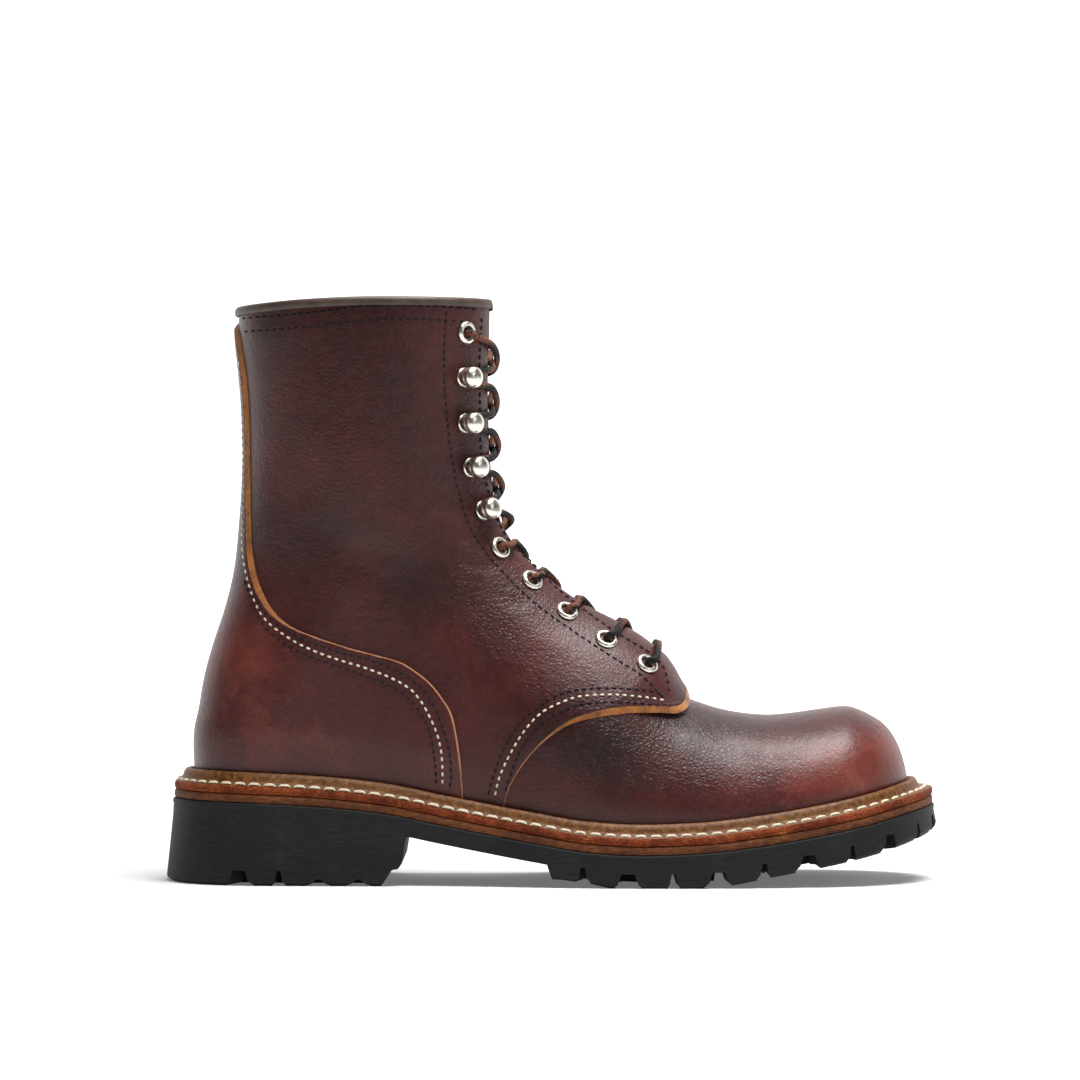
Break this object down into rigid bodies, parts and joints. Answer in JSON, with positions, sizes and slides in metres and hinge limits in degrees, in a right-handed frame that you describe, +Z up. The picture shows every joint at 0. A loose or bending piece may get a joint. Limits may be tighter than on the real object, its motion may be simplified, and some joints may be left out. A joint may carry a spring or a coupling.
{
  "type": "logger boot",
  "caption": "High lace-up logger boot, right foot, oiled leather on a storm welt, leather midsole and lugged rubber sole with a block heel.",
  "frame": {"origin": "on the floor, under the middle of the outsole's box", "axes": "+X from the heel to the toe, +Y to the inner side of the foot, +Z up"},
  "size_m": [0.3116, 0.1145, 0.2343],
  "materials": {
    "oiled_leather": "oiled pull-up leather, pebbled, mottled dark plum to red-brown",
    "binding": "smooth dark brown folded strip",
    "tongue_leather": "soft oiled leather",
    "insole_board": "plain tan leather",
    "welt_leather": "waxed tan strip",
    "midsole_leather": "cut edge of vegetable-tanned leather",
    "lug_rubber": "matt moulded rubber",
    "nickel": "polished nickel plate",
    "lace": "braided two-tone lace"
  },
  "bodies": {
    "root": {"collar_binding": "binding", "eyelet_inner_1": "nickel", "eyelet_inner_10": "nickel", "eyelet_inner_2": "nickel", "eyelet_inner_3": "nickel", "eyelet_inner_4": "nickel", "eyelet_inner_5": "nickel", "eyelet_outer_1": "nickel", "eyelet_outer_10": "nickel", "eyelet_outer_2": "nickel", "eyelet_outer_3": "nickel", "eyelet_outer_4": "nickel", "eyelet_outer_5": "nickel", "heel": "lug_rubber", "heel_counter": "oiled_leather", "insole": "insole_board", "lace_bar": "lace", "lace_cross_1": "lace", "lace_cross_2": "lace", "lace_cross_3": "lace", "lace_cross_4": "lace", "lace_cross_5": "lace", "lace_cross_6": "lace", "lace_cross_7": "lace", "lace_cross_8": "lace", "lace_cross_9": "lace", "lace_hook_inner_6": "nickel", "lace_hook_inner_7": "nickel", "lace_hook_inner_8": "nickel", "lace_hook_inner_9": "nickel", "lace_hook_outer_6": "nickel", "lace_hook_outer_7": "nickel", "lace_hook_outer_8": "nickel", "lace_hook_outer_9": "nickel", "midsole": "midsole_leather", "outsole": "lug_rubber", "storm_welt": "welt_leather", "tongue": "tongue_leather", "upper": "oiled_leather"}
  },
  "joints": []
}
